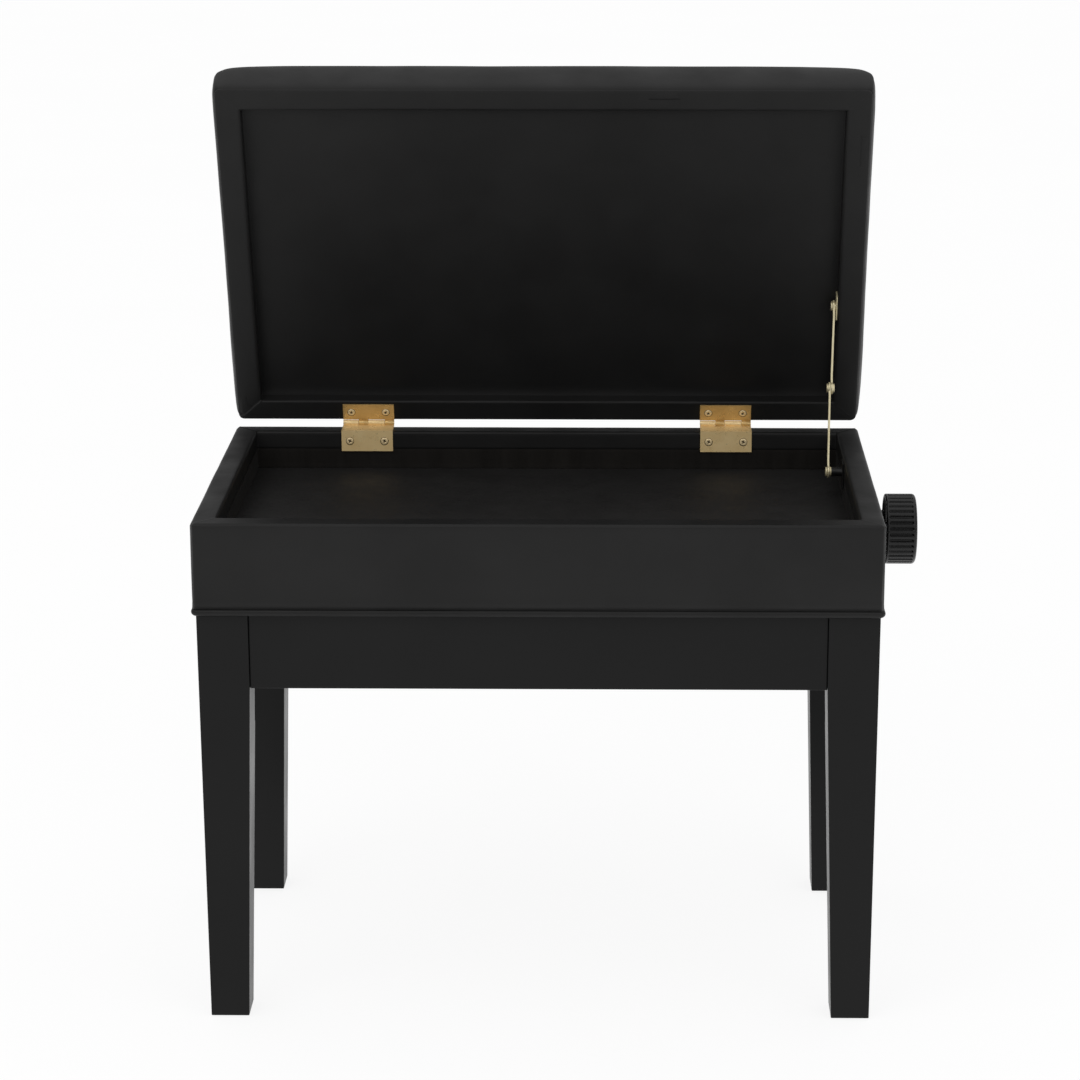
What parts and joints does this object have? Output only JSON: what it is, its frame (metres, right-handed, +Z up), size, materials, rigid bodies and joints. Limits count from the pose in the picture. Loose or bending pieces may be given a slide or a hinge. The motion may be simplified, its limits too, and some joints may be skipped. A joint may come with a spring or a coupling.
{
  "type": "piano bench",
  "caption": "Height-adjustable piano bench: padded hinged lid held open by a folding stay over a shallow storage tray, screw-driven scissor lift, tapered legs.",
  "frame": {"origin": "on the floor, under the middle of the seat box", "axes": "+X to the knob side, +Y to the hinge side at the back, +Z up"},
  "size_m": [0.5995, 0.3795, 0.7646],
  "materials": {
    "satin_black": "satin",
    "leatherette": "satin",
    "seat_foam": "matte",
    "lining_cloth": "matte",
    "tray_board": "matte",
    "bare_wood": "matte",
    "steel": "satin",
    "brass": "satin",
    "knob_plastic": "gloss",
    "glide_plastic": "matte",
    "felt": "matte"
  },
  "bodies": {
    "base": {"leg_front_left": "satin_black", "leg_front_right": "satin_black", "leg_rear_left": "satin_black", "leg_rear_right": "satin_black", "apron_front": "satin_black", "apron_rear": "satin_black", "apron_left": "satin_black", "apron_right": "satin_black", "corner_brackets": "steel", "leg_bolts": "steel", "foot_glides": "glide_plastic", "rest_pads": "felt", "base_rail_front": "steel", "base_rail_rear": "steel", "base_rail_clips": "steel", "base_rail_screws": "steel"},
    "seat_box": {"box_wall_front": "bare_wood", "box_wall_rear": "bare_wood", "box_wall_left": "bare_wood", "box_wall_right": "bare_wood", "box_cover": "leatherette", "box_welt": "leatherette", "tray_floor": "tray_board", "tray_lining": "lining_cloth", "box_rail_front": "steel", "box_rail_rear": "steel", "box_rail_screws": "steel", "outer_bearing": "steel", "inner_bearing": "steel", "lower_hinge_leaf_left": "brass", "lower_hinge_leaf_right": "brass", "hinge_pins": "brass", "lower_hinge_screws": "brass", "lower_stay_bracket": "brass"},
    "scissor_a": {"scissor_arm_a_front": "steel", "scissor_arm_a_rear": "steel", "lower_pivot_shaft": "steel", "centre_pins": "steel"},
    "scissor_b": {"scissor_arm_b_front": "steel", "scissor_arm_b_rear": "steel", "upper_pivot_shaft": "steel", "sliding_shaft": "steel"},
    "nut": {"trunnion_nut": "brass"},
    "screw": {"lead_screw": "steel", "screw_sleeve": "knob_plastic", "knob": "knob_plastic"},
    "lid": {"lid_rail_front": "bare_wood", "lid_rail_rear": "bare_wood", "lid_rail_left": "bare_wood", "lid_rail_right": "bare_wood", "lid_board": "bare_wood", "lid_lining": "lining_cloth", "seat_cushion": "seat_foam", "upper_hinge_leaf_left": "brass", "upper_hinge_leaf_right": "brass", "upper_hinge_screws": "brass", "upper_stay_bracket": "brass"},
    "stay_lower": {"lower_stay_arm": "brass"},
    "stay_upper": {"upper_stay_arm": "brass"}
  },
  "joints": [
    {"name": "seat_lift", "type": "slide", "parent": "base", "child": "seat_box", "axis": [0, 0, 1], "range_m": [0, 0.09]},
    {"name": "height_knob", "type": "hinge", "parent": "seat_box", "child": "screw", "pos_m": [0.28, 0, 0.3855], "axis": [1, 0, 0], "range_deg": [0, 4807]},
    {"name": "scissor_a_fold", "type": "hinge", "parent": "base", "child": "scissor_a", "pos_m": [-0.2, 0, 0.3175], "axis": [0, -1, 0], "range_deg": [0, 13.49]},
    {"name": "scissor_b_fold", "type": "hinge", "parent": "seat_box", "child": "scissor_b", "pos_m": [-0.2, 0, 0.3855], "axis": [0, 1, 0], "range_deg": [0, 13.49]},
    {"name": "nut_swivel", "type": "hinge", "parent": "scissor_a", "child": "nut", "pos_m": [0.19418, 0, 0.3855], "axis": [0, 1, 0], "range_deg": [0, 13.49]},
    {"name": "lid_hinge", "type": "hinge", "parent": "seat_box", "child": "lid", "pos_m": [0, 0.166, 0.4368], "axis": [1, 0, 0], "range_deg": [0, 72.4]},
    {"name": "stay_lower_pivot", "type": "hinge", "parent": "seat_box", "child": "stay_lower", "pos_m": [0.247, 0.051, 0.4225], "axis": [1, 0, 0], "range_deg": [-40.12, 0]},
    {"name": "stay_upper_pivot", "type": "hinge", "parent": "lid", "child": "stay_upper", "pos_m": [0.2544, 0.13643, 0.55134], "axis": [1, 0, 0], "range_deg": [0, 51.9]}
  ],
  "couplings": [
    {"joint": "height_knob", "follows": "seat_lift", "rad_per_m": 932.18},
    {"joint": "scissor_a_fold", "follows": "seat_lift", "rad_per_m": 2.6138},
    {"joint": "scissor_b_fold", "follows": "seat_lift", "rad_per_m": 2.6138},
    {"joint": "nut_swivel", "follows": "seat_lift", "rad_per_m": 2.6138},
    {"joint": "stay_lower_pivot", "follows": "lid_hinge", "ratio": -0.55402},
    {"joint": "stay_upper_pivot", "follows": "lid_hinge", "ratio": 0.71671}
  ]
}
